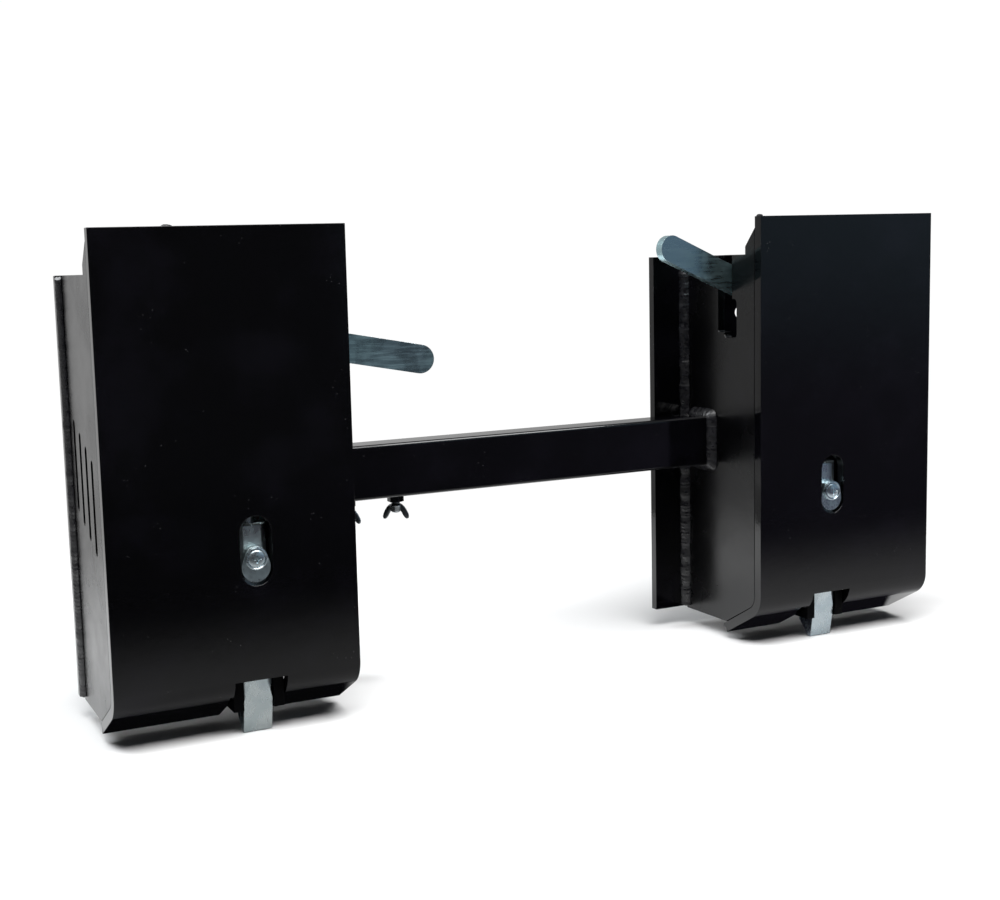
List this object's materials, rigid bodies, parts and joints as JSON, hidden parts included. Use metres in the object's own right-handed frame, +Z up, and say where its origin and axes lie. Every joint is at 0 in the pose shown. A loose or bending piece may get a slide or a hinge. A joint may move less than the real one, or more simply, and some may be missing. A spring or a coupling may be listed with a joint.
{
  "type": "quick attach latch box pair",
  "caption": "Mirrored pair of weld-on quick-attach latch boxes with sliding wedges and hand levers, joined by a telescoping cross bar locked by wing bolts.",
  "frame": {"origin": "rear face of the left box's weld plate, on the wedge's centre plane, halfway between the plate's bottom and top edges", "axes": "+X along the cross bar from the left box to the right box as seen from the attachment's side, +Y from the coupler faces back to the weld faces, +Z up along the wedges"},
  "size_m": [0.8516, 0.1325, 0.4215],
  "materials": {
    "gloss_black_paint": "gloss",
    "painted_weld": "satin",
    "zinc_plate": "satin",
    "bare_steel": "satin"
  },
  "bodies": {
    "left_box": {"left_face_plate": "gloss_black_paint", "left_outer_side_wall": "gloss_black_paint", "left_inner_side_wall": "gloss_black_paint", "left_weld_plate": "gloss_black_paint", "left_outer_weld_bead": "painted_weld", "left_inner_weld_bead": "painted_weld", "left_wedge_guide": "gloss_black_paint", "left_spring_seat": "gloss_black_paint", "left_pivot_stud": "bare_steel", "left_pivot_spacer": "bare_steel", "left_pivot_washer": "zinc_plate", "left_pivot_nut": "zinc_plate", "left_return_spring": "bare_steel", "inner_bar": "gloss_black_paint", "inner_bar_weld": "painted_weld"},
    "left_lift_arm_group": {"left_lift_arm": "zinc_plate", "left_lift_pin": "bare_steel", "left_stop_pin": "bare_steel"},
    "left_lever_group": {"left_lever": "zinc_plate", "left_lever_bush": "bare_steel"},
    "left_wedge_group": {"left_wedge_pin": "zinc_plate", "left_wedge_boss": "zinc_plate", "left_boss_screw": "zinc_plate", "left_boss_screw_nut": "zinc_plate", "left_lift_plate": "zinc_plate"},
    "right_box": {"right_face_plate": "gloss_black_paint", "right_outer_side_wall": "gloss_black_paint", "right_inner_side_wall": "gloss_black_paint", "right_weld_plate": "gloss_black_paint", "right_outer_weld_bead": "painted_weld", "right_inner_weld_bead": "painted_weld", "right_wedge_guide": "gloss_black_paint", "right_spring_seat": "gloss_black_paint", "right_pivot_stud": "bare_steel", "right_pivot_spacer": "bare_steel", "right_pivot_washer": "zinc_plate", "right_pivot_nut": "zinc_plate", "right_return_spring": "bare_steel", "outer_bar": "gloss_black_paint", "outer_bar_weld": "painted_weld", "weld_nut_1": "gloss_black_paint", "weld_nut_2": "gloss_black_paint"},
    "right_lift_arm_group": {"right_lift_arm": "zinc_plate", "right_lift_pin": "bare_steel", "right_stop_pin": "bare_steel"},
    "right_lever_group": {"right_lever": "zinc_plate", "right_lever_bush": "bare_steel"},
    "right_wedge_group": {"right_wedge_pin": "zinc_plate", "right_wedge_boss": "zinc_plate", "right_boss_screw": "zinc_plate", "right_boss_screw_nut": "zinc_plate", "right_lift_plate": "zinc_plate"},
    "wing_bolt_1_group": {"wing_bolt_1": "zinc_plate"},
    "wing_bolt_2_group": {"wing_bolt_2": "zinc_plate"}
  },
  "joints": [
    {"name": "bar_slide", "type": "slide", "parent": "left_box", "child": "right_box", "axis": [1, 0, 0], "range_m": [0, 0.29]},
    {"name": "left_lever_lift", "type": "hinge", "parent": "left_box", "child": "left_lift_arm_group", "pos_m": [0.016, -0.08115, 0.1305], "axis": [0, -1, 0], "range_deg": [0, 40], "stiffness_Nm_per_rad": 2.5, "springref_deg": -28.65},
    {"name": "left_lever_play", "type": "hinge", "parent": "left_lift_arm_group", "child": "left_lever_group", "pos_m": [0.016, -0.08115, 0.1305], "axis": [0, -1, 0], "range_deg": [0, 33.5]},
    {"name": "left_wedge_slide", "type": "slide", "parent": "left_box", "child": "left_wedge_group", "axis": [0, 0, 1], "range_m": [0, 0.025], "deforming": ["left_return_spring"]},
    {"name": "right_lever_lift", "type": "hinge", "parent": "right_box", "child": "right_lift_arm_group", "pos_m": [0.581, -0.08115, 0.1305], "axis": [0, 1, 0], "range_deg": [0, 40], "stiffness_Nm_per_rad": 2.5, "springref_deg": -28.65},
    {"name": "right_lever_play", "type": "hinge", "parent": "right_lift_arm_group", "child": "right_lever_group", "pos_m": [0.581, -0.08115, 0.1305], "axis": [0, 1, 0], "range_deg": [-33.5, 0]},
    {"name": "right_wedge_slide", "type": "slide", "parent": "right_box", "child": "right_wedge_group", "axis": [0, 0, 1], "range_m": [0, 0.025], "deforming": ["right_return_spring"]},
    {"name": "wing_bolt_1_turn", "type": "hinge", "parent": "right_box", "child": "wing_bolt_1_group", "pos_m": [0.1165, -0.0395, -0.036], "axis": [0, 0, 1], "range_deg": [-360, 0]},
    {"name": "wing_bolt_2_turn", "type": "hinge", "parent": "right_box", "child": "wing_bolt_2_group", "pos_m": [0.1645, -0.0395, -0.036], "axis": [0, 0, 1], "range_deg": [-360, 0]}
  ],
  "couplings": [
    {"joint": "left_wedge_slide", "follows": "left_lever_lift", "m_per_rad": 0.03567},
    {"joint": "right_wedge_slide", "follows": "right_lever_lift", "m_per_rad": 0.03567}
  ]
}
